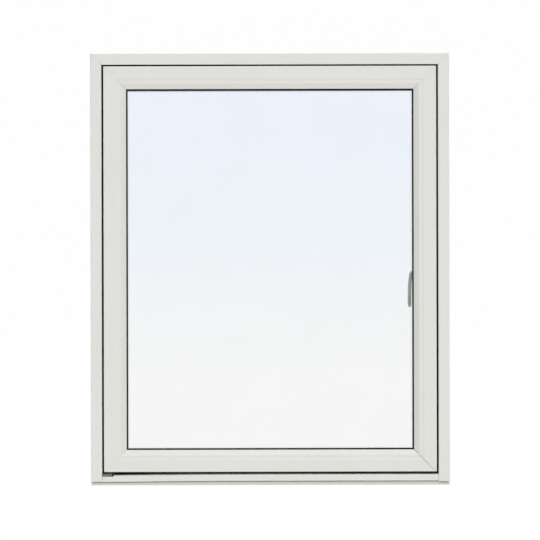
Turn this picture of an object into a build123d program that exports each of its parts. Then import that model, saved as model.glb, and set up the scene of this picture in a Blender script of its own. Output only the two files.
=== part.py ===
"""Side-hung casement window: painted timber frame and sash, both clad outdoors in white aluminium.

X runs across the window, seen from outdoors, Y from the weather side to the room, Z up.
The origin is the middle of the underside. A section is drawn with u, the distance inward from
the outer edge of the frame or of the sash, and d, the depth behind the face of the cladding.
"""

from build123d import *
from math import cos, radians, sqrt, tan
import os

os.makedirs("parts", exist_ok=True)

# Whole window
frame_width = 980
frame_height = 1180
frame_depth = 115

# Aluminium cladding
cladding_t = 1.8
edge_radius = 2
mitre_gap = 0.4
open_mitre_gap = 1.5
frame_face = 30.5
frame_outer_leg = 14
frame_inner_leg = 20
jamb_foot_drop = 1.8
sash_leg = 18

# Timber of the frame
timber_set_back = 8
stop_depth = 31
stop_lap = 15.5
timber_radius = 3

# Sill: the bare timber strip at the foot, then the face and the sloped top of its cladding,
# which sags towards its left end
strip_height = 12
sill_face = 17.2
sill_slope = 12
sill_top_depth = 34
sill_drip = 4
sill_left_gap = 0.8
sill_right_gap = 0.3
sill_sag = 2.6
sill_sag_length = 380

# Room between frame and sash
side_gap = 4.8
head_gap = 4.2
sill_gap = 5.8
seal_gap = 4

# Face of the sash: a broad flat, a shallow step, a narrow flat and a bevel down to the glass
sash_face = 61.4
broad_flat = 34
step_run = 5.5
step_drop = 1.5
narrow_flat = 8
bevel_drop = 7.4
lip_return = 3
splay_angle = 12

# Triple glazing
pane_t = 4
cavity = 12
pane_bite = 11
pane_clearance = 5
pane_arris = 0.5
spacer_height = 7
spacer_show = 1.8
gasket_t = 5.5
gasket_show = 3
gasket_root = 6
tape_t = 3

# Rubber seals between frame and sash
seal_width = 8
seal_clearance = 0.3
outer_seal_width = 6
outer_seal_depth = 3
sill_seal_depth = 14
inner_seal_inset = 5

# Corner pivot hinges
hinge_length = 25.5
hinge_width = 22
hinge_t = 3.2
hinge_washer_t = 0.8
hinge_corner_radius = 1.5
hinge_set_back = 3
hinge_jamb_gap = 0.8
hinge_end_gap = 4.5
hinge_floor = 24.3
hinge_pin_diameter = 6
hinge_pin_clearance = 0.1
hinge_pin_inset = 10
hinge_upstand = 4
top_hinge_t = 1.6
top_hinge_width = 9

# Handle on the room side
handle_height = 583
handle_inset = 34.5
rose_width = 26
rose_height = 70
rose_t = 9
rose_radius = 9
rose_bevel = 2
hub_diameter = 19
lever_reach = 26
lever_length = 97.5
lever_elbow = 35
lever_lean = 4.2
lever_width = 9.5
lever_depth = 14
lever_corner_radius = 3.5
lever_stand_off = 38
lever_bend = 8
lever_bow = 400
lever_tip_length = 9
lever_tip_taper = 13
lever_tip_radius = 1.8

# Frame fixings through the jambs
fixing_diameter = 14
fixing_inset = 150
fixing_depth = 62

# Depths and edges that follow from the sizes above
front = -frame_depth / 2
stop_front = frame_depth - stop_depth
sash_back = stop_front - seal_gap
bevel_end = step_drop + bevel_drop
lip_end = bevel_end + lip_return
glass_front = lip_end + gasket_t
glass_back = glass_front + 3 * pane_t + 2 * cavity
glass_rebate = glass_back + tape_t
sill_top = strip_height + sill_face
sill_rise = tan(radians(sill_slope))
sash_bottom = sill_top + sill_gap
frame_rect = (-frame_width / 2, frame_width / 2, 0, frame_height)
sash_rect = (
    -frame_width / 2 + frame_face + side_gap,
    frame_width / 2 - frame_face - side_gap,
    sash_bottom,
    frame_height - frame_face - head_gap,
)


def side_line(rect, side):
    """Section plane at the start of one side of a rectangle, and the side's length."""
    left, right, bottom, top = rect
    starts = {
        "left": ((left, front, bottom), (1, 0, 0), (0, 0, 1), top - bottom),
        "right": ((right, front, top), (-1, 0, 0), (0, 0, -1), top - bottom),
        "head": ((left, front, top), (0, 0, -1), (1, 0, 0), right - left),
        "sill": ((right, front, bottom), (0, 0, 1), (-1, 0, 0), right - left),
    }
    origin, inward, along, length = starts[side]
    return Plane(origin, x_dir=inward, z_dir=along), length


def bar(section, rect, side, ends=(0, 0), mitres=(None, None)):
    """Section run along one side, stopped square at ends, or mitred where a mitre gap is given."""
    plane, length = side_line(rect, side)
    solid = extrude(plane.offset(ends[0]) * section, amount=length - ends[0] - ends[1])
    if mitres[0] is not None:
        point = plane.from_local_coords((0, 0, mitres[0] * sqrt(0.5)))
        solid = split(solid, Plane(point, z_dir=plane.z_dir - plane.x_dir), Keep.TOP)
    if mitres[1] is not None:
        point = plane.from_local_coords((0, 0, length - mitres[1] * sqrt(0.5)))
        solid = split(solid, Plane(point, z_dir=-plane.z_dir - plane.x_dir), Keep.TOP)
    return solid


def ring(section, rect):
    """Section run round all four sides as one closed loop with mitred corners."""
    sides = [bar(section, rect, side, mitres=(0, 0)) for side in ("left", "head", "right", "sill")]
    return sides[0] + sides[1:]


def sheet(points, radii):
    """Open extrusion section: points follow its outer face, and the metal lies behind them."""
    outer = FilletPolyline(*points, radius=radii)
    return make_face(offset(outer, cladding_t, kind=Kind.INTERSECTION, side=Side.LEFT))


def section(points, radii):
    """Closed section through points, with a radius for each corner."""
    return make_face(FilletPolyline(*points, radius=radii, close=True))


def inset(rect, amount):
    """Rectangle drawn in by the same amount on all sides."""
    left, right, bottom, top = rect
    return (left + amount, right - amount, bottom + amount, top - amount)


def slab(rect, near, far):
    """Flat sheet over a rectangle, between two depths."""
    left, right, bottom, top = rect
    size = (right - left, far - near, top - bottom)
    middle = ((left + right) / 2, front + (near + far) / 2, (bottom + top) / 2)
    return Pos(*middle) * Box(*size)


def block(x_range, depth_range, z_range):
    """Plain block between two values on each axis."""
    return slab((*x_range, *z_range), *depth_range)


def save(name, shape):
    """Write one piece."""
    shape.label = name
    export_step(shape, f"parts/{name}.step")


# Bottom hinge pocket, milled into the left end of the sill and its cladding
hinge_left = frame_rect[0] + frame_face + hinge_jamb_gap
hinge_right = hinge_left + hinge_length
hinge_back = hinge_set_back + hinge_width
hinge_pocket = block(
    (frame_rect[0] + frame_face, hinge_right + hinge_end_gap),
    (-edge_radius, hinge_back + hinge_end_gap),
    (hinge_floor, sash_bottom),
)

# Timber frame: jambs run through, head and sill are scribed between them
inner_face = frame_face - cladding_t


def frame_section(stop_edge):
    """Rebated frame timber, with a groove at its outer front corner for the cladding leg."""
    points = [
        (cladding_t, timber_set_back),
        (inner_face, timber_set_back),
        (inner_face, stop_front),
        (stop_edge, stop_front),
        (stop_edge, frame_depth),
        (0, frame_depth),
        (0, frame_outer_leg),
        (cladding_t, frame_outer_leg),
    ]
    return section(points, [0, 0, 0, 0, timber_radius, 0, 0, 0])


def under_sill(depth):
    """Height of the underside of the sill cladding at a depth."""
    return sill_top + depth * sill_rise - cladding_t / cos(radians(sill_slope))


# The sill cladding runs level from the right, then sags in a shallow arc to its left end
sill_left = frame_rect[0] + frame_face + sill_left_gap
sill_right = frame_rect[1] - frame_face - sill_right_gap
sag_start = sill_left + sill_sag_length
sill_level = Line((sill_right, front, 0), (sag_start, front, 0))
sill_arc = TangentArc((sag_start, front, 0), (sill_left, front, -sill_sag), tangent=(-1, 0, 0))
sill_path = Wire([sill_level, sill_arc])
bed_back = sill_top_depth + cladding_t
sill_bed = section(
    [
        (under_sill(timber_set_back), timber_set_back),
        (under_sill(bed_back), bed_back),
        (under_sill(bed_back) + 2 * sill_sag, bed_back),
        (under_sill(timber_set_back) + 2 * sill_sag, timber_set_back),
    ],
    [0, 0, 0, 0],
)


def sill_run(shape):
    """Section run along the sill, following its sag."""
    start = side_line(frame_rect, "sill")[0].offset(frame_rect[1] - sill_right)
    return sweep(start * shape, path=sill_path)


jamb_foot = strip_height - jamb_foot_drop
jamb = bar(frame_section(frame_face + side_gap + stop_lap), frame_rect, "left")
jamb += block(
    (frame_rect[0], frame_rect[0] + cladding_t),
    (timber_set_back, frame_outer_leg),
    (0, jamb_foot),
)
jamb -= block(
    (frame_rect[0], frame_rect[0] + frame_face),
    (timber_set_back, frame_outer_leg),
    (frame_height - cladding_t, frame_height),
)
for height in (fixing_inset, frame_height - fixing_inset):
    hole = Cylinder(fixing_diameter / 2, 2 * frame_face, rotation=(0, 90, 0))
    jamb -= Pos(frame_rect[0] + frame_face / 2, front + fixing_depth, height) * hole
left_jamb = jamb
right_jamb = mirror(jamb, about=Plane.YZ)

shoulders = (inner_face, inner_face)
head = bar(frame_section(frame_face + head_gap + stop_lap), frame_rect, "head", ends=shoulders)
head = head - left_jamb - right_jamb

sill_points = [
    (0, timber_set_back),
    (under_sill(timber_set_back), timber_set_back),
    (under_sill(sill_top_depth), sill_top_depth),
    (under_sill(sill_top_depth), stop_front),
    (sash_bottom + stop_lap, stop_front),
    (sash_bottom + stop_lap, frame_depth),
    (0, frame_depth),
]
sill_timber = section(sill_points, [0, 0, 0, 0, 0, timber_radius, 0])
sill = bar(sill_timber, frame_rect, "sill", ends=shoulders)
sill = sill - left_jamb - right_jamb - hinge_pocket - sill_run(sill_bed)

save("frame_left_jamb", left_jamb)
save("frame_right_jamb", right_jamb)
save("frame_head", head)
save("frame_sill", sill)

# Frame cladding: head and jambs mitred at the top, square at the foot with the sill butted between
frame_cladding = sheet(
    [(0, frame_outer_leg), (0, 0), (frame_face, 0), (frame_face, frame_inner_leg)],
    [edge_radius, edge_radius],
)
head_cladding = bar(frame_cladding, frame_rect, "head", mitres=(mitre_gap, mitre_gap))
jamb_cladding = bar(frame_cladding, frame_rect, "left", ends=(jamb_foot, 0), mitres=(None, mitre_gap))
left_cladding = jamb_cladding - sill
right_cladding = mirror(jamb_cladding, about=Plane.YZ) - sill

sill_sheet = sheet(
    [
        (strip_height, sill_drip),
        (strip_height, 0),
        (sill_top, 0),
        (sill_top + sill_top_depth * sill_rise, sill_top_depth),
    ],
    [edge_radius, edge_radius],
)
sill_cladding = sill_run(sill_sheet) - hinge_pocket

save("frame_head_cladding", head_cladding)
save("frame_left_cladding", left_cladding)
save("frame_right_cladding", right_cladding)
save("sill_cladding", sill_cladding)

# Timber sash: stiles run through, rails are scribed between them
rebate_wall = sash_face - pane_bite - pane_clearance
splay_run = (sash_back - glass_rebate) * tan(radians(splay_angle))
sash_section = section(
    [
        (cladding_t, timber_set_back),
        (rebate_wall, timber_set_back),
        (rebate_wall, glass_rebate),
        (sash_face, glass_rebate),
        (sash_face - splay_run, sash_back),
        (cladding_t, sash_back),
    ],
    [0, 0, 0, 0, timber_radius, timber_radius],
)
sash_ends = (cladding_t, cladding_t)
left_stile = bar(sash_section, sash_rect, "left", ends=sash_ends)
right_stile = mirror(left_stile, about=Plane.YZ)
rail_ends = (rebate_wall, rebate_wall)
top_rail = bar(sash_section, sash_rect, "head", ends=rail_ends) - left_stile - right_stile
bottom_rail = bar(sash_section, sash_rect, "sill", ends=rail_ends) - left_stile - right_stile

save("sash_left_stile", left_stile)
save("sash_right_stile", right_stile)
save("sash_top_rail", top_rail)
save("sash_bottom_rail", bottom_rail)

# Sash cladding: one extrusion mitred at four corners, the lower right mitre standing open
sash_cladding = sheet(
    [
        (0, sash_leg),
        (0, 0),
        (broad_flat, 0),
        (broad_flat + step_run, step_drop),
        (broad_flat + step_run + narrow_flat, step_drop),
        (sash_face, bevel_end),
        (sash_face, lip_end),
    ],
    [edge_radius, 0, 0, 0, 0],
)
sash_mitres = {
    "left": (mitre_gap, mitre_gap),
    "top": (mitre_gap, mitre_gap),
    "right": (mitre_gap, mitre_gap),
    "bottom": (open_mitre_gap, mitre_gap),
}
for name, side in (("left", "left"), ("top", "head"), ("right", "right"), ("bottom", "sill")):
    save(f"sash_{name}_cladding", bar(sash_cladding, sash_rect, side, mitres=sash_mitres[name]))

# Sealed triple unit: three panes, two spacers and the edge seals behind them
pane_edge = sash_face - pane_bite
pane_rect = inset(sash_rect, pane_edge)
spacer_inner = sash_face + spacer_show
spacer_outer = spacer_inner - spacer_height
edge_seals = []
for index, name in enumerate(("outer", "middle", "inner")):
    near = glass_front + index * (pane_t + cavity)
    pane = slab(pane_rect, near, near + pane_t)
    save(f"{name}_pane", chamfer(pane.edges(), pane_arris))
for index, name in enumerate(("outer", "inner")):
    near = glass_front + pane_t + index * (pane_t + cavity)
    far = near + cavity
    spacer_points = [(spacer_outer, near), (spacer_inner, near), (spacer_inner, far), (spacer_outer, far)]
    save(f"{name}_spacer", ring(section(spacer_points, [0, 0, 0, 0]), sash_rect))
    seal_points = [
        (pane_edge + pane_arris, near),
        (spacer_outer, near),
        (spacer_outer, far),
        (pane_edge + pane_arris, far),
    ]
    edge_seals.append(ring(section(seal_points, [0, 0, 0, 0]), sash_rect))
save("edge_seals", Compound(children=edge_seals))

# Rubber that holds the unit: a gasket with a rounded nose outdoors, a flat tape on the room side
gasket_nose = gasket_show * 0.6
gasket_points = [
    (sash_face - gasket_root, lip_end),
    (sash_face + gasket_show, lip_end),
    (sash_face + gasket_show, glass_front),
    (sash_face - gasket_root, glass_front),
]
save("glazing_gasket", ring(section(gasket_points, [0, gasket_nose, 0, 0]), sash_rect))
tape_points = [
    (pane_edge + pane_arris, glass_back),
    (sash_face, glass_back),
    (sash_face, glass_rebate),
    (pane_edge + pane_arris, glass_rebate),
]
save("glazing_tape", ring(section(tape_points, [0, 0, 0, 0]), sash_rect))


def bulb(foot, tip, end):
    """Half-round rubber bulb on a flat foot."""
    return make_face(Line(foot, end) + ThreePointArc(foot, tip, end))


# Weather seals: half-round bulbs on the cladding legs, on the sill and on the inner stop
middle_depth = outer_seal_depth + outer_seal_width / 2
outer_back = outer_seal_depth + outer_seal_width


def outer_bulb(gap):
    """Bulb on the inner leg of the frame cladding, reaching across a gap to the sash."""
    tip = (frame_face + gap - seal_clearance, middle_depth)
    return bulb((frame_face, outer_seal_depth), tip, (frame_face, outer_back))


seal_foot = (sash_bottom, 0)
side_seal = bar(outer_bulb(side_gap), frame_rect, "left", ends=seal_foot, mitres=(None, 0))
head_seal = bar(outer_bulb(head_gap), frame_rect, "head", mitres=(0, 0))
save("outer_weather_seal", head_seal + side_seal + mirror(side_seal, about=Plane.YZ))

sill_seal_back = sill_seal_depth + seal_width
sill_bulb = bulb(
    (sill_top + sill_seal_depth * sill_rise, sill_seal_depth),
    (sash_bottom - seal_clearance, sill_seal_depth + seal_width / 2),
    (sill_top + sill_seal_back * sill_rise, sill_seal_back),
)
seal_start = Plane((hinge_right + hinge_end_gap, 0, 0), z_dir=(1, 0, 0))
save("sill_weather_seal", split(sill_run(sill_bulb), seal_start, Keep.TOP))

inner_bulb = bulb(
    (inner_seal_inset, stop_front),
    (inner_seal_inset + seal_width / 2, sash_back + seal_clearance),
    (inner_seal_inset + seal_width, stop_front),
)
save("inner_weather_seal", ring(inner_bulb, sash_rect))


# Corner pivots on one upright axis at the left of the sash
pin_x = hinge_left + hinge_pin_inset
pin_depth = hinge_set_back + hinge_width / 2
pin_hole = hinge_pin_diameter / 2 + hinge_pin_clearance


def upright(radius, bottom, top):
    """Round bar on the hinge axis."""
    return Pos(pin_x, front + pin_depth, (bottom + top) / 2) * Cylinder(radius, top - bottom)


plate_top = hinge_floor + hinge_t
arm_bottom = plate_top + hinge_washer_t
arm_top = arm_bottom + hinge_t
plate = block((hinge_left, hinge_right), (hinge_set_back, hinge_back), (hinge_floor, plate_top))
plate = fillet(plate.edges().filter_by(Axis.Z), hinge_corner_radius)
arm = block((hinge_left, hinge_right), (hinge_set_back, hinge_back), (arm_bottom, arm_top))
arm = fillet(arm.edges().filter_by(Axis.Z), hinge_corner_radius)
arm += block(
    (pin_x + hinge_pin_diameter, hinge_right),
    (hinge_back - hinge_t - hinge_upstand, hinge_back - hinge_t),
    (arm_top, sash_bottom),
)
bottom_hole = upright(pin_hole, hinge_floor, arm_top)
pin = upright(hinge_pin_diameter / 2, hinge_floor, arm_top)
pin += upright(hinge_pin_diameter, plate_top, arm_bottom)
save("bottom_hinge_plate", plate - bottom_hole)
save("bottom_hinge_arm", arm - bottom_hole)
save("bottom_hinge_pin", pin)

top_ceiling = frame_height - frame_face
sash_top = sash_rect[3]
top_near = pin_depth - top_hinge_width / 2
top_far = pin_depth + top_hinge_width / 2
top_plate = block(
    (hinge_left, hinge_right), (top_near, top_far), (top_ceiling - top_hinge_t, top_ceiling)
)
top_arm = block((hinge_left, hinge_right), (top_near, top_far), (sash_top, sash_top + top_hinge_t))
top_hole = upright(pin_hole, sash_top, top_ceiling)
save("top_hinge_plate", fillet(top_plate.edges().filter_by(Axis.Z), hinge_corner_radius) - top_hole)
save("top_hinge_arm", fillet(top_arm.edges().filter_by(Axis.Z), hinge_corner_radius) - top_hole)
top_pin = upright(hinge_pin_diameter / 2, sash_top, top_ceiling)
top_pin += upright(top_hinge_width / 2, sash_top + top_hinge_t, top_ceiling - top_hinge_t)
save("top_hinge_pin", top_pin)

# Handle: a rose on the inside face of the right stile, and a cranked lever hanging from its hub
handle_x = sash_rect[1] - handle_inset
rose_face = front + sash_back + rose_t
rose_plane = Plane((handle_x, front + sash_back, handle_height), x_dir=(-1, 0, 0), z_dir=(0, 1, 0))
rose = extrude(rose_plane * RectangleRounded(rose_width, rose_height, rose_radius), amount=rose_t)
rose = chamfer(rose.faces().sort_by(Axis.Y)[-1].edges(), rose_bevel)

lever_y = front + sash_back + lever_stand_off
corner_x = handle_x - lever_reach
shank_x = corner_x - lever_lean
shank_end = handle_height - lever_length + lever_tip_length
lever_path = FilletPolyline(
    (handle_x, lever_y, handle_height),
    (corner_x, lever_y, handle_height),
    (shank_x, lever_y, handle_height - lever_elbow),
    (shank_x, lever_y, shank_end),
    radius=[lever_bend, lever_bow],
)
lever_section = RectangleRounded(lever_depth, lever_width, lever_corner_radius)
lever_start = Plane((handle_x, lever_y, handle_height), x_dir=(0, 1, 0), z_dir=(-1, 0, 0))
lever = sweep(lever_start * lever_section, path=lever_path)
tip_plane = Plane((shank_x, lever_y, shank_end), x_dir=(0, 1, 0), z_dir=(0, 0, -1))
lever += extrude(tip_plane * lever_section, amount=lever_tip_length, taper=lever_tip_taper)
lever = fillet(lever.faces().sort_by(Axis.Z)[0].edges(), lever_tip_radius)
hub_length = lever_y + lever_depth / 2 - rose_face
hub_plane = Plane((handle_x, rose_face, handle_height), x_dir=(-1, 0, 0), z_dir=(0, 1, 0))
hub = extrude(hub_plane * Circle(hub_diameter / 2), amount=hub_length)
hub = chamfer(hub.faces().sort_by(Axis.Y)[-1].edges(), rose_bevel)

save("handle_rose", rose)
save("handle_lever", lever + hub)
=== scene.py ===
"""Finishes, studio and camera for a white side-hung window, dressed on its packed CAD frame."""

import math

import bmesh
import bpy
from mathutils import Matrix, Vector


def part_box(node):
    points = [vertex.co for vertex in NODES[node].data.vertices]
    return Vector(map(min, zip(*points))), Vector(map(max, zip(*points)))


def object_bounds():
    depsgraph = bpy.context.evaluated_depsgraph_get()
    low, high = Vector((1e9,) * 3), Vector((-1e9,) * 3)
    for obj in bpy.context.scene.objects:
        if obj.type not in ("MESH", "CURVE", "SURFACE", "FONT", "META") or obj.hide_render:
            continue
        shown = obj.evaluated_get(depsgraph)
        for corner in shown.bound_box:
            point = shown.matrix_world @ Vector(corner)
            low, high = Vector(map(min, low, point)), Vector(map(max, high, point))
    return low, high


bl_info = {
    "name": "Casement window finishes",
    "version": (1, 0, 0),
    "blender": (4, 5, 0),
    "location": "View3D > Sidebar > Casement",
    "description": "Powder coat, paint, glass, rubber and metal for a clad timber window, with its studio",
    "category": "Object",
}

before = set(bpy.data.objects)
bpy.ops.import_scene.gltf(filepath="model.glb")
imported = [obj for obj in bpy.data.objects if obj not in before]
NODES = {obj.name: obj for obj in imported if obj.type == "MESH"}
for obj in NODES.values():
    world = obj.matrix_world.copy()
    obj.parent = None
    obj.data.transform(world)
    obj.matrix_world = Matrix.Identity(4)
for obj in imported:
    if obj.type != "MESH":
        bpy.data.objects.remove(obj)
CAD_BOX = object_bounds()
MM = 0.001

# Places on the window that dirt and wear follow
FRONT = CAD_BOX[0][1]
SIDE = CAD_BOX[1][0]
TOP = CAD_BOX[1][2]
SILL_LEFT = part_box("sill_cladding")[0][0]
SASH_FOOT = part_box("sash_bottom_cladding")[0][2]
LEVER_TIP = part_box("handle_lever")[0][2]

# Pieces that share a finish
FRAME_CLADDING = [
    "frame_head_cladding",
    "frame_left_cladding",
    "frame_right_cladding",
    "sill_cladding",
]
SASH_CLADDING = [
    "sash_top_cladding",
    "sash_bottom_cladding",
    "sash_left_cladding",
    "sash_right_cladding",
]
UPRIGHT_TIMBER = ["frame_left_jamb", "frame_right_jamb", "sash_left_stile", "sash_right_stile"]
LEVEL_TIMBER = ["frame_head", "frame_sill", "sash_top_rail", "sash_bottom_rail"]
PANES = ["outer_pane", "middle_pane", "inner_pane"]
SPACERS = ["outer_spacer", "inner_spacer"]
EDGE_SEALS = ["edge_seals"]
GLAZING_SEALS = ["glazing_gasket", "glazing_tape"]
WEATHER_SEALS = ["outer_weather_seal", "sill_weather_seal", "inner_weather_seal"]
HINGES = [f"{end}_hinge_{piece}" for end in ("bottom", "top") for piece in ("plate", "arm", "pin")]
HANDLE = ["handle_rose", "handle_lever"]

# Sockets of a Mix node that takes colours, picked by place because their names repeat
SHARE = 0
UNDER = 6
OVER = 7
MIXED = 2

# The X and Z of a normal, multiplied, pass this only on the saw cuts of the mitres
SAWN_FACING = 0.45
# Radius of a spacer's pin hole and of its soft rim, as shares of the distance between holes
PIN_HOLE = 0.15
PIN_HOLE_RIM = 0.3
# How many times longer than wide a brush line is
BRUSH_STRETCH = 40
# X of a normal on the side of the handle where the painted shade is full; where it is the opposite, the
# painted light is full
SHADED_FACING = 0.5
# How far each kind of tone change moves the finish from its mean, as a share of light to dark colour
TONE_SWING = 0.25

# Bands of the studio, as the Z or the Y of a direction where each begins and ends
HAZE_BAND = (-0.05, 0.07)
SKY_BAND = (0.06, 0.14)
BACKDROP_BAND = (0.25, 0.5)
# From the middle of the floor to its edges, in metres
FLOOR_REACH = 20
# A ray's depths are whole numbers, and this parts none from one or more
ANY_DEPTH = 0.5
# Width of the camera's sensor, in millimetres
SENSOR_WIDTH = 36


def linear(hex_colour):
    """Linear RGB of an sRGB hex value."""
    channels = [int(hex_colour[i : i + 2], 16) / 255 for i in (0, 2, 4)]
    return tuple(c / 12.92 if c <= 0.04045 else ((c + 0.055) / 1.055) ** 2.4 for c in channels)


def put(tree, kind, inputs=None, **settings):
    """Add a node with its settings; an input is given a value, or linked where it is a socket."""
    node = tree.nodes.new(kind)
    for key, value in settings.items():
        setattr(node, key, value)
    for key, value in (inputs or {}).items():
        if isinstance(value, bpy.types.NodeSocket):
            tree.links.new(value, node.inputs[key])
        else:
            node.inputs[key].default_value = value
    return node


def blank(name):
    """New material with an empty node tree."""
    material = bpy.data.materials.new(name)
    material.use_nodes = True
    material.node_tree.nodes.clear()
    return material, material.node_tree


def dress(names, material):
    """Give CAD nodes a material in every slot of theirs."""
    for name in names:
        mesh = NODES[name].data
        if not mesh.materials:
            mesh.materials.append(material)
        for index in range(len(mesh.materials)):
            mesh.materials[index] = material


def rgba(colour):
    """Colour property as a four-channel socket value."""
    return (*colour, 1)


def colour_property(label, text, hex_colour):
    """Colour that a user may change, with its default as sRGB hex."""
    return bpy.props.FloatVectorProperty(
        name=label, description=text, subtype="COLOR", size=3, min=0, max=1, default=linear(hex_colour)
    )


def length_property(label, text, millimetres):
    """Length that a user may change, with its default in millimetres."""
    return bpy.props.FloatProperty(
        name=label, description=text, subtype="DISTANCE", unit="LENGTH", min=0, default=millimetres * MM
    )


def share_property(label, text, value):
    """Number from 0 to 1 that a user may change."""
    return bpy.props.FloatProperty(
        name=label, description=text, subtype="FACTOR", min=0, max=1, default=value
    )


class CaseCladding(bpy.types.PropertyGroup):
    """Powder coat on the aluminium."""

    colour: colour_property("Powder coat", "Main colour of the coat", "E7E7E4")
    shade: colour_property("Dulled coat", "Colour where the coat is slightly dulled", "E2E2DE")
    patch: length_property("Patches", "Width of the dulled patches", 140)
    roughness: share_property("Roughness", "Roughness of the satin coat", 0.42)
    spread: share_property("Roughness spread", "How far the patches change the roughness", 0.05)
    peel: length_property("Orange peel", "Width of the ripples in the sprayed coat", 6)
    # Painted shade in the gap round the sash: brown, then near black deeper behind the face; the frame's
    # rim stays free of it
    shade_tint: colour_property("Grime", "Colour of the dust that settles in the gap", "C9AE7C")
    brown_shade_cover: share_property("Dust cover", "How fully the dust hides the coat", 0.6)
    clean: length_property("Clean edge", "Depth behind the face that rain keeps clean", 1)
    brown_shade_depth: length_property("Dusty depth", "Depth behind the face where the dust lies full", 12)
    black: length_property("Black depth", "Depth behind the face where the dirt turns black", 17)
    black_cover: share_property("Black cover", "How fully the black dirt hides the coat", 0.9)
    rim: length_property("Rim", "Width from the outer edge of the frame that stays clean", 20)
    # Painted shade: the near-black colour deep in the gap and along the foot of the sash
    deep_shade: colour_property("Old dirt", "Colour of dried drips and of the dirt deep in the gap", "2E2A24")
    # Painted shade along the foot of the sash, full up to this height above it and fading out over the
    # next length
    drip: length_property("Drip line", "Height of the drip line above the foot of the sash", 2.25)
    foot_shade_fade: length_property("Drip fade", "Height over which the drip line ends", 0.4)
    cut: colour_property("Cut ends", "Colour of the bare metal and dirt inside the mitres", "4A4A48")


class CaseTimber(bpy.types.PropertyGroup):
    """Paint on the timber."""

    colour: colour_property("Paint", "Main colour of the paint", "E5E3DF")
    shade: colour_property("Paint over grain", "Colour where the grain shows through", "DCD9D2")
    roughness: share_property("Roughness", "Roughness of the satin paint", 0.48)
    ring: length_property("Grain width", "Width of the growth rings across the timber", 5)
    run: length_property("Grain length", "Length of one ring mark along the timber", 260)
    # Painted shadow on the bare timber strip under the cladding's lower edge: its colour, where it begins
    # and ends, how it follows the cladding, and how it fades
    shade_tint: colour_property("Grime", "Colour of the dirt line under the cladding", "978C75")
    line: length_property("Dirt line", "Height above the floor where the dirt line begins", 8.2)
    full: length_property("Full dirt", "Distance under the drip edge where the dirt is full", 2)
    drip: length_property("Drip edge", "Height of the lower edge of the cladding", 12)
    foot: length_property("Jamb foot", "How far the jamb cladding reaches below the sill's", 2)
    sag: length_property("Sag", "How far the sill cladding hangs lower at its left end", 2.6)
    sag_run: length_property("Sag length", "Length over which the sill cladding sags", 380)
    reach: length_property("Reach", "Depth behind the face that the dirt reaches to", 16)
    fade: length_property("Fade", "Length over which the dirt line fades out at its ends", 7)


class CaseGlazing(bpy.types.PropertyGroup):
    """Sealed unit."""

    tint: colour_property("Glass tint", "Light that one pane lets through", "FFFFFF")
    dust: colour_property("Dust film", "Light that one pane lets through where dust lies", "FDFEFD")
    film: length_property("Film patches", "Width of the patches of dust", 180)
    spacer: colour_property("Spacer", "Colour of the spacer bars", "24332E")
    perforation: length_property("Perforation", "Distance between the spacer's pin holes", 3)
    sealant: colour_property("Sealant", "Colour of the edge seals", "161718")
    tooling: length_property("Tooling", "Width of the waves in the edge seals", 8.3333)


class CaseFittings(bpy.types.PropertyGroup):
    """Rubber and metal."""

    rubber: colour_property("Weather seals", "Colour of the seals round the sash", "140D07")
    gasket: colour_property("Gasket", "Colour of the gasket and tape at the glass", "14211E")
    grain: length_property("Rubber grain", "Width of the grain in the rubber", 1.42857)
    zinc: colour_property("Zinc", "Colour of the hinge plating", "A5A088")
    spangle: length_property("Spangle", "Width of the zinc crystals", 4)
    handle: colour_property("Handle", "Colour of the handle's lacquer", "C5CABD")
    # Painted shade: the darker colour on the handle's side towards the stile and towards the lever's tip,
    # which the brush lines also mix in
    darker: colour_property("Handle wear", "Colour where hands have dulled the lacquer", "7F7D6E")
    # The lever turns darker towards its tip between these two heights
    darkest_below: length_property("Grip, low", "Height above the lever's tip where the wear is full", 20)
    lightest_above: length_property("Grip, high", "Height above the lever's tip where the wear ends", 82)
    brush: length_property("Brushing", "Width of the brush lines on the handle", 0.9)


class CaseStudio(bpy.types.PropertyGroup):
    """Light and camera."""

    distance: length_property("Camera distance", "From the face of the window to the camera", 4600)
    eye: length_property("Camera height", "Height of the camera above the floor", 500)
    width: length_property("View width", "Width that the picture takes in at the face", 1474.5)
    aim_x: bpy.props.FloatProperty(
        name="Aim across", description="Middle of the view across", unit="LENGTH", default=-0.3 * MM
    )
    aim_z: length_property("Aim height", "Middle of the view above the floor", 588)
    roll: bpy.props.FloatProperty(
        name="Roll", description="Turn of the camera", subtype="ANGLE", default=math.radians(0.13)
    )
    light: bpy.props.FloatProperty(
        name="Light", description="Strength of the soft light", min=0, default=2.61
    )
    falloff: bpy.props.FloatProperty(
        name="Falloff", description="How fast the light dims towards both sides", min=0, default=2.6
    )
    from_above: share_property("From above", "How much of the light comes from above", 0.3)
    overhead: share_property("Overhead", "How much light comes from straight above and below", 0.4)
    from_right: share_property("From the right", "How much of the light comes from the right", 0.92)
    backdrop: share_property("Backdrop", "How much light the backdrop gives", 0.25)
    wings: share_property("Wings", "How much more of it comes from both sides", 0.6)
    tone: colour_property("Light colour", "Colour of the soft light", "FFFEFA")
    white: colour_property("White", "White of the backdrop", "FEFEFE")
    paper: colour_property("Paper", "Grey of the floor where light and shade fall on it", "3F3F3F")
    paper_glow: colour_property("Paper glow", "White that the floor gives off", "FFFFFF")
    glow: share_property("Glow", "How much of its white the floor gives off", 0.95)
    sky: colour_property("Sky", "Sky that the glass reflects", "B0C3FF")
    haze: colour_property("Haze", "Haze over the horizon that the glass reflects", "ACCBF4")
    ground: colour_property("Ground", "Ground that the glass reflects", "E2DDE4")


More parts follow.
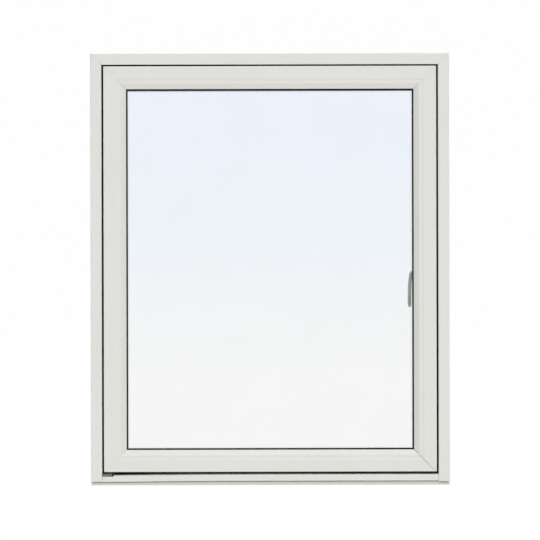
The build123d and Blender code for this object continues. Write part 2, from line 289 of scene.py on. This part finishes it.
def powder_coat(name, finish, layers):
    """Coat under layers of dirt, each with its axis, clean place, dirty place, cover and colour."""
    # Powder-coated aluminium, sprayed and baked: satin, even white with a faint ripple.
    # The real ripple is about 2 mm wide; it is drawn wider so that it shows.
    material, tree = blank(name)
    place = put(tree, "ShaderNodeTexCoord")
    patch = put(
        tree,
        "ShaderNodeTexNoise",
        {"Vector": place.outputs["Object"], "Scale": 1 / finish.patch, "Detail": 2},
    )
    colour = put(
        tree,
        "ShaderNodeMix",
        {SHARE: patch.outputs["Fac"], UNDER: rgba(finish.colour), OVER: rgba(finish.shade)},
        data_type="RGBA",
    )

    # The painted shade stays inside the rim of the frame.
    axes = put(tree, "ShaderNodeSeparateXYZ", {"Vector": place.outputs["Object"]})
    aside = put(tree, "ShaderNodeMath", {0: axes.outputs["X"]}, operation="ABSOLUTE")
    across = put(
        tree, "ShaderNodeMath", {0: aside.outputs[0], 1: SIDE - finish.rim}, operation="LESS_THAN"
    )
    below = put(
        tree, "ShaderNodeMath", {0: axes.outputs["Z"], 1: TOP - finish.rim}, operation="LESS_THAN"
    )
    inside = put(
        tree, "ShaderNodeMath", {0: across.outputs[0], 1: below.outputs[0]}, operation="MULTIPLY"
    )
    # Each layer paints shade in, from none at its clean place to its cover at its dirty place
    for axis, clean, dirty, cover, shade_tint in layers:
        depth = put(
            tree,
            "ShaderNodeMapRange",
            {"Value": axes.outputs[axis], "From Min": clean, "From Max": dirty, "To Max": cover},
        )
        dirt = put(
            tree,
            "ShaderNodeMath",
            {0: depth.outputs["Result"], 1: inside.outputs[0]},
            operation="MULTIPLY",
        )
        colour = put(
            tree,
            "ShaderNodeMix",
            {SHARE: dirt.outputs[0], UNDER: colour.outputs[MIXED], OVER: rgba(shade_tint)},
            data_type="RGBA",
        )

    # The saw cuts of the mitres are bare and hold dirt; only they face two ways at once.
    facing = put(tree, "ShaderNodeSeparateXYZ", {"Vector": place.outputs["Normal"]})
    mitre = put(
        tree,
        "ShaderNodeMath",
        {0: facing.outputs["X"], 1: facing.outputs["Z"]},
        operation="MULTIPLY",
    )
    mitre = put(tree, "ShaderNodeMath", {0: mitre.outputs[0]}, operation="ABSOLUTE")
    sawn = put(
        tree, "ShaderNodeMath", {0: mitre.outputs[0], 1: SAWN_FACING}, operation="GREATER_THAN"
    )
    colour = put(
        tree,
        "ShaderNodeMix",
        {SHARE: sawn.outputs[0], UNDER: colour.outputs[MIXED], OVER: rgba(finish.cut)},
        data_type="RGBA",
    )

    ripple = put(
        tree,
        "ShaderNodeTexNoise",
        {"Vector": place.outputs["Object"], "Scale": 1 / finish.peel, "Detail": 1},
    )
    bump = put(
        tree,
        "ShaderNodeBump",
        {"Height": ripple.outputs["Fac"], "Strength": 0.06, "Distance": 0.4 * MM},
    )
    rough = put(
        tree,
        "ShaderNodeMapRange",
        {
            "Value": patch.outputs["Fac"],
            "To Min": finish.roughness - finish.spread,
            "To Max": finish.roughness + finish.spread,
        },
    )
    coat = put(
        tree,
        "ShaderNodeBsdfPrincipled",
        {
            "Base Color": colour.outputs[MIXED],
            "Roughness": rough.outputs["Result"],
            "Normal": bump.outputs["Normal"],
        },
    )
    put(tree, "ShaderNodeOutputMaterial", {"Surface": coat.outputs["BSDF"]})
    return material


def strip_painted_shadow(tree, axes, finish, sag, drop):
    """Share of the dirt line that drips leave on the bare strip, just under the cladding's edge."""
    # The line follows that edge where the sill sags to the left.
    dip = put(
        tree,
        "ShaderNodeMapRange",
        {
            "Value": axes.outputs["X"],
            "From Min": SILL_LEFT + finish.sag_run,
            "From Max": SILL_LEFT,
        },
    )
    dip = put(
        tree,
        "ShaderNodeMath",
        {0: dip.outputs["Result"], 1: dip.outputs["Result"]},
        operation="MULTIPLY",
    )
    height = put(
        tree,
        "ShaderNodeMath",
        {0: dip.outputs[0], 1: sag, 2: axes.outputs["Z"]},
        operation="MULTIPLY_ADD",
    )
    # It is full under the edge, and fades out behind the cladding, at both ends and in depth.
    dirt = put(
        tree,
        "ShaderNodeMapRange",
        {
            "Value": height.outputs[0],
            "From Min": finish.line - drop,
            "From Max": finish.drip - drop - finish.full,
        },
    )
    aside = put(tree, "ShaderNodeMath", {0: axes.outputs["X"]}, operation="ABSOLUTE")
    behind = FRONT + finish.reach
    for value, clean, dirty in (
        (height.outputs[0], 2 * finish.drip, finish.drip),
        (aside.outputs[0], SIDE, SIDE - finish.fade),
        (axes.outputs["Y"], behind + finish.fade, behind),
    ):
        share = put(
            tree, "ShaderNodeMapRange", {"Value": value, "From Min": clean, "From Max": dirty}
        )
        dirt = put(
            tree,
            "ShaderNodeMath",
            {0: dirt.outputs[0], 1: share.outputs["Result"]},
            operation="MULTIPLY",
        )
    return dirt


def painted_pine(name, finish, scale, sag, drop):
    """Painted timber with its grain stretched to a scale, and the dirt line on the strip."""
    # Pine under sprayed satin paint: nearly even, with long faint ridges of the grain.
    material, tree = blank(name)
    place = put(tree, "ShaderNodeTexCoord")
    stretch = put(tree, "ShaderNodeMapping", {"Vector": place.outputs["Object"], "Scale": scale})
    grain = put(
        tree,
        "ShaderNodeTexNoise",
        {"Vector": stretch.outputs["Vector"], "Scale": 1, "Detail": 4, "Distortion": 0.3},
    )
    colour = put(
        tree,
        "ShaderNodeMix",
        {SHARE: grain.outputs["Fac"], UNDER: rgba(finish.colour), OVER: rgba(finish.shade)},
        data_type="RGBA",
    )
    axes = put(tree, "ShaderNodeSeparateXYZ", {"Vector": place.outputs["Object"]})
    # Painted shadow on the bare strip under the cladding's lower edge
    dirt = strip_painted_shadow(tree, axes, finish, sag, drop)
    colour = put(
        tree,
        "ShaderNodeMix",
        {SHARE: dirt.outputs[0], UNDER: colour.outputs[MIXED], OVER: rgba(finish.shade_tint)},
        data_type="RGBA",
    )
    bump = put(
        tree,
        "ShaderNodeBump",
        {"Height": grain.outputs["Fac"], "Strength": 0.25, "Distance": 0.3 * MM},
    )
    paint = put(
        tree,
        "ShaderNodeBsdfPrincipled",
        {
            "Base Color": colour.outputs[MIXED],
            "Roughness": finish.roughness,
            "Normal": bump.outputs["Normal"],
        },
    )
    put(tree, "ShaderNodeOutputMaterial", {"Surface": paint.outputs["BSDF"]})
    return material


def float_glass(finish):
    """Clear glass of the panes."""
    # Float glass, drawn and fire-polished: clear, with a faint film of dust in patches.
    material, tree = blank("clear_float_glass")
    place = put(tree, "ShaderNodeTexCoord")
    film = put(
        tree,
        "ShaderNodeTexNoise",
        {"Vector": place.outputs["Object"], "Scale": 1 / finish.film, "Detail": 3},
    )
    colour = put(
        tree,
        "ShaderNodeMix",
        {SHARE: film.outputs["Fac"], UNDER: rgba(finish.tint), OVER: rgba(finish.dust)},
        data_type="RGBA",
    )
    glass = put(
        tree,
        "ShaderNodeBsdfPrincipled",
        {
            "Base Color": colour.outputs[MIXED],
            "Roughness": 0.0,
            "IOR": 1.52,
            "Transmission Weight": 1.0,
        },
    )
    put(tree, "ShaderNodeOutputMaterial", {"Surface": glass.outputs["BSDF"]})
    return material


def spacer_plastic(finish):
    """Plastic of the spacer bars."""
    # Warm-edge spacer: matt plastic bar with rows of pin holes towards the cavity.
    material, tree = blank("warm_edge_spacer")
    place = put(tree, "ShaderNodeTexCoord")
    holes = put(
        tree,
        "ShaderNodeTexVoronoi",
        {"Vector": place.outputs["Object"], "Scale": 1 / finish.perforation, "Randomness": 0.0},
    )
    edge = put(
        tree,
        "ShaderNodeMapRange",
        {"Value": holes.outputs["Distance"], "From Min": PIN_HOLE, "From Max": PIN_HOLE_RIM},
    )
    colour = put(
        tree,
        "ShaderNodeMix",
        {SHARE: edge.outputs["Result"], UNDER: rgba(finish.sealant), OVER: rgba(finish.spacer)},
        data_type="RGBA",
    )
    bar = put(
        tree,
        "ShaderNodeBsdfPrincipled",
        {"Base Color": colour.outputs[MIXED], "Roughness": 0.55},
    )
    put(tree, "ShaderNodeOutputMaterial", {"Surface": bar.outputs["BSDF"]})
    return material


def edge_sealant(finish):
    """Sealant round the edge of the unit."""
    # Butyl and polysulphide sealant: dull black with a hand-tooled waviness.
    material, tree = blank("edge_sealant")
    place = put(tree, "ShaderNodeTexCoord")
    wave = put(
        tree,
        "ShaderNodeTexNoise",
        {"Vector": place.outputs["Object"], "Scale": 1 / finish.tooling},
    )
    bump = put(tree, "ShaderNodeBump", {"Height": wave.outputs["Fac"], "Distance": 0.5 * MM})
    paste = put(
        tree,
        "ShaderNodeBsdfPrincipled",
        {"Base Color": rgba(finish.sealant), "Roughness": 0.7, "Normal": bump.outputs["Normal"]},
    )
    put(tree, "ShaderNodeOutputMaterial", {"Surface": paste.outputs["BSDF"]})
    return material


def epdm_rubber(name, finish, colour):
    """Rubber of one colour."""
    # Extruded EPDM rubber: near black and dull, with a fine grain.
    # The real grain is finer; it is drawn wider so that it shows.
    material, tree = blank(name)
    place = put(tree, "ShaderNodeTexCoord")
    grain = put(
        tree,
        "ShaderNodeTexNoise",
        {"Vector": place.outputs["Object"], "Scale": 1 / finish.grain, "Detail": 2},
    )
    rough = put(
        tree,
        "ShaderNodeMapRange",
        {"Value": grain.outputs["Fac"], "To Min": 0.6, "To Max": 0.85},
    )
    bump = put(
        tree,
        "ShaderNodeBump",
        {"Height": grain.outputs["Fac"], "Strength": 0.2, "Distance": 0.1 * MM},
    )
    rubber = put(
        tree,
        "ShaderNodeBsdfPrincipled",
        {
            "Base Color": rgba(colour),
            "Specular IOR Level": 0.1,
            "Roughness": rough.outputs["Result"],
            "Normal": bump.outputs["Normal"],
        },
    )
    put(tree, "ShaderNodeOutputMaterial", {"Surface": rubber.outputs["BSDF"]})
    return material


def zinc_steel(finish):
    """Plated steel of the hinges."""
    # Zinc-plated steel: grey metal with a soft gloss that is mottled by crystals.
    material, tree = blank("zinc_plated_steel")
    place = put(tree, "ShaderNodeTexCoord")
    crystal = put(
        tree,
        "ShaderNodeTexVoronoi",
        {"Vector": place.outputs["Object"], "Scale": 1 / finish.spangle},
    )
    rough = put(
        tree,
        "ShaderNodeMapRange",
        {"Value": crystal.outputs["Distance"], "To Min": 0.32, "To Max": 0.52},
    )
    steel = put(
        tree,
        "ShaderNodeBsdfPrincipled",
        {"Base Color": rgba(finish.zinc), "Metallic": 1.0, "Roughness": rough.outputs["Result"]},
    )
    put(tree, "ShaderNodeOutputMaterial", {"Surface": steel.outputs["BSDF"]})
    return material


def silver_lacquer(finish):
    """Lacquered metal of the handle, worn where hands hold it."""
    # Die-cast zinc under silver lacquer: satin grey, partly metal, with lines down its length.
    # The real lines are finer; they are drawn wider so that they show.
    material, tree = blank("silver_lacquered_zinc")
    place = put(tree, "ShaderNodeTexCoord")
    line = 1 / finish.brush
    stretch = put(
        tree,
        "ShaderNodeMapping",
        {"Vector": place.outputs["Object"], "Scale": (line, line, line / BRUSH_STRETCH)},
    )
    brush = put(
        tree, "ShaderNodeTexNoise", {"Vector": stretch.outputs["Vector"], "Scale": 1, "Detail": 3}
    )
    # Painted shade darkens the side towards the stile and painted light brightens the other side; the
    # lever also turns darker towards its tip.
    axes = put(tree, "ShaderNodeSeparateXYZ", {"Vector": place.outputs["Object"]})
    facing = put(tree, "ShaderNodeSeparateXYZ", {"Vector": place.outputs["Normal"]})
    # Tone from the brush lines, the painted shade and light across the handle, and the darkening towards
    # the tip
    wear = brush.outputs["Fac"]
    for value, lighter, darker in (
        (facing.outputs["X"], -SHADED_FACING, SHADED_FACING),
        (axes.outputs["Z"], LEVER_TIP + finish.lightest_above, LEVER_TIP + finish.darkest_below),
    ):
        swing = put(
            tree,
            "ShaderNodeMapRange",
            {
                "Value": value,
                "From Min": lighter,
                "From Max": darker,
                "To Min": -TONE_SWING,
                "To Max": TONE_SWING,
            },
        )
        wear = put(
            tree, "ShaderNodeMath", {0: swing.outputs["Result"], 1: wear}, operation="ADD"
        ).outputs[0]
    colour = put(
        tree,
        "ShaderNodeMix",
        {SHARE: wear, UNDER: rgba(finish.handle), OVER: rgba(finish.darker)},
        data_type="RGBA",
    )
    rough = put(
        tree,
        "ShaderNodeMapRange",
        {"Value": brush.outputs["Fac"], "To Min": 0.3, "To Max": 0.46},
    )
    bump = put(
        tree,
        "ShaderNodeBump",
        {"Height": brush.outputs["Fac"], "Strength": 0.15, "Distance": 0.05 * MM},
    )
    metal = put(
        tree,
        "ShaderNodeBsdfPrincipled",
        {
            "Base Color": colour.outputs[MIXED],
            "Metallic": 0.3,
            "Specular IOR Level": 0.3,
            "Roughness": rough.outputs["Result"],
            "Normal": bump.outputs["Normal"],
        },
    )
    put(tree, "ShaderNodeOutputMaterial", {"Surface": metal.outputs["BSDF"]})
    return material


def paper_floor(studio):
    """Floor of white paper."""
    shape = bmesh.new()
    bmesh.ops.create_grid(shape, x_segments=1, y_segments=1, size=FLOOR_REACH)
    mesh = bpy.data.meshes.new("studio_floor")
    shape.to_mesh(mesh)
    shape.free()
    # White paper sweep: matt, and lit to nearly the same white as the backdrop.
    material, tree = blank("white_paper_floor")
    paper = put(
        tree,
        "ShaderNodeBsdfPrincipled",
        {
            "Base Color": rgba(studio.paper),
            "Roughness": 1.0,
            "Specular IOR Level": 0.0,
            "Emission Color": rgba(studio.paper_glow),
            "Emission Strength": studio.glow,
        },
    )
    put(tree, "ShaderNodeOutputMaterial", {"Surface": paper.outputs["BSDF"]})
    mesh.materials.append(material)
    floor = bpy.data.objects.new("studio_floor", mesh)
    floor.visible_diffuse = False
    floor.visible_glossy = False
    floor.visible_transmission = False
    return floor


def soft_light(tree, axes, direction, studio):
    """Strength of the light on the surfaces, by the direction that it comes from."""
    # A broad band overhead and in front, dim at both sides and stronger from the right.
    side = put(tree, "ShaderNodeMath", {0: axes.outputs["X"]}, operation="ABSOLUTE")
    band = put(tree, "ShaderNodeMapRange", {"Value": side.outputs[0], "To Min": 1, "To Max": 0})
    band = put(
        tree, "ShaderNodeMath", {0: band.outputs["Result"], 1: studio.falloff}, operation="POWER"
    )
    lean = put(
        tree,
        "ShaderNodeVectorMath",
        {0: direction, 1: (studio.from_right, 0, studio.from_above)},
        operation="DOT_PRODUCT",
    )
    lean = put(tree, "ShaderNodeMath", {0: lean.outputs["Value"], 1: 1}, operation="ADD")
    ends = put(
        tree,
        "ShaderNodeMath",
        {0: axes.outputs["Z"], 1: axes.outputs["Z"]},
        operation="MULTIPLY",
    )
    lean = put(
        tree,
        "ShaderNodeMath",
        {0: ends.outputs[0], 1: studio.overhead, 2: lean.outputs[0]},
        operation="MULTIPLY_ADD",
    )
    glow = put(
        tree, "ShaderNodeMath", {0: band.outputs[0], 1: lean.outputs[0]}, operation="MULTIPLY"
    )
    # The white backdrop behind the window fills in its sides.
    across = put(
        tree, "ShaderNodeMath", {0: side.outputs[0], 1: side.outputs[0]}, operation="MULTIPLY"
    )
    fill = put(
        tree,
        "ShaderNodeMath",
        {0: across.outputs[0], 1: studio.wings, 2: studio.backdrop},
        operation="MULTIPLY_ADD",
    )
    glow = put(
        tree,
        "ShaderNodeMapRange",
        {
            "Value": axes.outputs["Y"],
            "From Min": BACKDROP_BAND[0],
            "From Max": BACKDROP_BAND[1],
            "To Min": glow.outputs[0],
            "To Max": fill.outputs[0],
        },
    )
    return put(
        tree, "ShaderNodeMath", {0: glow.outputs["Result"], 1: studio.light}, operation="MULTIPLY"
    )


def open_sky(tree, axes, studio):
    """Ground, haze and sky, one above the other."""
    sky = rgba(studio.ground)
    for colour, (low, high) in ((studio.haze, HAZE_BAND), (studio.sky, SKY_BAND)):
        height = put(
            tree,
            "ShaderNodeMapRange",
            {"Value": axes.outputs["Z"], "From Min": low, "From Max": high},
            interpolation_type="SMOOTHSTEP",
        )
        sky = put(
            tree,
            "ShaderNodeMix",
            {SHARE: height.outputs["Result"], UNDER: sky, OVER: rgba(colour)},
            data_type="RGBA",
        ).outputs[MIXED]
    return sky


def soft_world(studio):
    """World with a soft light for the surfaces, and what gloss and glass show."""
    world = bpy.data.worlds.new("soft_studio")
    world.use_nodes = True
    tree = world.node_tree
    tree.nodes.clear()
    rays = put(tree, "ShaderNodeLightPath")
    direction = put(tree, "ShaderNodeTexCoord").outputs["Generated"]
    axes = put(tree, "ShaderNodeSeparateXYZ", {"Vector": direction})
    glow = soft_light(tree, axes, direction, studio)
    soft = put(
        tree, "ShaderNodeBackground", {"Color": rgba(studio.tone), "Strength": glow.outputs[0]}
    )

    # Gloss and glass show white behind the window and an open sky in front of it, but seen straight
    # or through the panes from the room, the studio stays white.
    ahead = put(tree, "ShaderNodeMath", {0: axes.outputs["Y"], 1: 0}, operation="LESS_THAN")
    unseen = put(
        tree, "ShaderNodeMath", {0: 1, 1: rays.outputs["Is Camera Ray"]}, operation="SUBTRACT"
    )
    turned = put(
        tree,
        "ShaderNodeMath",
        {0: rays.outputs["Glossy Depth"], 1: ANY_DEPTH},
        operation="GREATER_THAN",
    )
    outside = put(
        tree,
        "ShaderNodeMath",
        {0: rays.outputs["Transmission Depth"], 1: ANY_DEPTH},
        operation="LESS_THAN",
    )
    turned = put(
        tree, "ShaderNodeMath", {0: turned.outputs[0], 1: outside.outputs[0]}, operation="MAXIMUM"
    )
    for test in (unseen, turned):
        ahead = put(
            tree, "ShaderNodeMath", {0: ahead.outputs[0], 1: test.outputs[0]}, operation="MULTIPLY"
        )
    shown = put(
        tree,
        "ShaderNodeMix",
        {SHARE: ahead.outputs[0], UNDER: rgba(studio.white), OVER: open_sky(tree, axes, studio)},
        data_type="RGBA",
    )
    plain = put(tree, "ShaderNodeBackground", {"Color": shown.outputs[MIXED]})
    lit = put(
        tree,
        "ShaderNodeMath",
        {0: rays.outputs["Diffuse Depth"], 1: ANY_DEPTH},
        operation="GREATER_THAN",
    )
    either = put(
        tree,
        "ShaderNodeMixShader",
        {0: lit.outputs[0], 1: plain.outputs[0], 2: soft.outputs[0]},
    )
    put(tree, "ShaderNodeOutputWorld", {"Surface": either.outputs[0]})
    return world


def view_camera(studio):
    """Camera in front of the window, level, with its picture shifted up to the window's middle."""
    lens = bpy.data.cameras.new("camera")
    lens.sensor_width = SENSOR_WIDTH
    lens.lens = lens.sensor_width * studio.distance / studio.width
    lens.shift_y = (studio.aim_z - studio.eye) / studio.width
    camera = bpy.data.objects.new("camera", lens)
    camera.location = (studio.aim_x, FRONT - studio.distance, studio.eye)
    camera.rotation_euler = (math.radians(90), studio.roll, 0)
    return camera


class CASEMENT_OT_cladding(bpy.types.Operator):
    """Coat the aluminium cladding of frame, sill and sash"""

    bl_idname = "casement.cladding"
    bl_label = "Cladding"

    def execute(self, context):
        finish = context.scene.case_cladding
        drip = SASH_FOOT + finish.drip
        # Painted shade in the gap: the frame's slope and legs round the sash turn brown, then near black
        # deeper in the gap, and a dark line is painted along the foot of the sash.
        gap_painted_shade = [
            ("Y", FRONT + finish.clean, FRONT + finish.brown_shade_depth, finish.brown_shade_cover, finish.shade_tint),
            ("Y", FRONT + finish.brown_shade_depth, FRONT + finish.black, finish.black_cover, finish.deep_shade),
        ]
        # Painted shade along the foot of the sash, whose lower edge faces down into the gap
        foot_painted_shade = [("Z", drip + finish.foot_shade_fade, drip, 1, finish.deep_shade)]
        dress(FRAME_CLADDING, powder_coat("powder_coated_frame", finish, gap_painted_shade))
        dress(SASH_CLADDING, powder_coat("powder_coated_sash", finish, foot_painted_shade))
        return {"FINISHED"}


class CASEMENT_OT_timber(bpy.types.Operator):
    """Paint the timber of frame and sash, with the grain along each member"""

    bl_idname = "casement.timber"
    bl_label = "Timber"

    def execute(self, context):
        finish = context.scene.case_timber
        across, along = 1 / finish.ring, 1 / finish.run
        # The jambs' cladding is straight and reaches lower; the sill's sags.
        for name, members, scale, sag, drop in (
            ("painted_pine_upright", UPRIGHT_TIMBER, (across, across, along), 0, finish.foot),
            ("painted_pine_level", LEVEL_TIMBER, (along, across, across), finish.sag, 0),
        ):
            dress(members, painted_pine(name, finish, scale, sag, drop))
        return {"FINISHED"}


class CASEMENT_OT_glazing(bpy.types.Operator):
    """Finish the panes, the spacers and the edge seals of the sealed unit"""

    bl_idname = "casement.glazing"
    bl_label = "Glazing"

    def execute(self, context):
        finish = context.scene.case_glazing
        dress(PANES, float_glass(finish))
        dress(SPACERS, spacer_plastic(finish))
        dress(EDGE_SEALS, edge_sealant(finish))
        # Soft light passes straight through the panes to what stands behind them.
        for name in PANES:
            NODES[name].visible_diffuse = False
        return {"FINISHED"}


class CASEMENT_OT_seals(bpy.types.Operator):
    """Finish the rubber gasket, tape and weather seals"""

    bl_idname = "casement.seals"
    bl_label = "Seals"

    def execute(self, context):
        finish = context.scene.case_fittings
        dress(WEATHER_SEALS, epdm_rubber("epdm_weather_seal", finish, finish.rubber))
        dress(GLAZING_SEALS, epdm_rubber("epdm_glazing_gasket", finish, finish.gasket))
        return {"FINISHED"}


class CASEMENT_OT_hinges(bpy.types.Operator):
    """Finish the corner pivot hinges"""

    bl_idname = "casement.hinges"
    bl_label = "Hinges"

    def execute(self, context):
        dress(HINGES, zinc_steel(context.scene.case_fittings))
        return {"FINISHED"}


class CASEMENT_OT_handle(bpy.types.Operator):
    """Finish the rose and the lever on the room side"""

    bl_idname = "casement.handle"
    bl_label = "Handle"

    def execute(self, context):
        dress(HANDLE, silver_lacquer(context.scene.case_fittings))
        return {"FINISHED"}


class CASEMENT_OT_studio(bpy.types.Operator):
    """Set the pale floor, the soft light and the camera"""

    bl_idname = "casement.studio"
    bl_label = "Studio"

    def execute(self, context):
        scene = context.scene
        studio = scene.case_studio
        scene.view_settings.view_transform = "Standard"
        scene.world = soft_world(studio)
        floor = paper_floor(studio)
        scene.collection.objects.link(floor)
        camera = view_camera(studio)
        scene.collection.objects.link(camera)
        scene.camera = camera
        return {"FINISHED"}


class CASEMENT_PT_sidebar(bpy.types.Panel):
    """Steps and settings of the window's finish"""

    bl_idname = "CASEMENT_PT_sidebar"
    bl_label = "Casement window"
    bl_space_type = "VIEW_3D"
    bl_region_type = "UI"
    bl_category = "Casement"

    def draw(self, context):
        for step in STEPS:
            self.layout.operator(step.bl_idname)
        for key, group in GROUPS.items():
            column = self.layout.column(heading=group.__doc__)
            for name in group.__annotations__:
                column.prop(getattr(context.scene, key), name)


STEPS = [
    CASEMENT_OT_cladding,
    CASEMENT_OT_timber,
    CASEMENT_OT_glazing,
    CASEMENT_OT_seals,
    CASEMENT_OT_hinges,
    CASEMENT_OT_handle,
    CASEMENT_OT_studio,
]
GROUPS = {
    "case_cladding": CaseCladding,
    "case_timber": CaseTimber,
    "case_glazing": CaseGlazing,
    "case_fittings": CaseFittings,
    "case_studio": CaseStudio,
}


def register():
    """Register the groups, the steps and the panel."""
    for key, group in GROUPS.items():
        bpy.utils.register_class(group)
        setattr(bpy.types.Scene, key, bpy.props.PointerProperty(type=group))
    for item in [*STEPS, CASEMENT_PT_sidebar]:
        bpy.utils.register_class(item)


def unregister():
    """Take everything out again, in reverse."""
    for item in [CASEMENT_PT_sidebar, *reversed(STEPS)]:
        bpy.utils.unregister_class(item)
    for key, group in reversed(GROUPS.items()):
        delattr(bpy.types.Scene, key)
        bpy.utils.unregister_class(group)


def main():
    """Run every step in order and note the sizes before and after."""
    register()
    bpy.ops.casement.cladding()
    bpy.ops.casement.timber()
    bpy.ops.casement.glazing()
    bpy.ops.casement.seals()
    bpy.ops.casement.hinges()
    bpy.ops.casement.handle()
    bpy.ops.casement.studio()


if __name__ == "__main__":
    main()
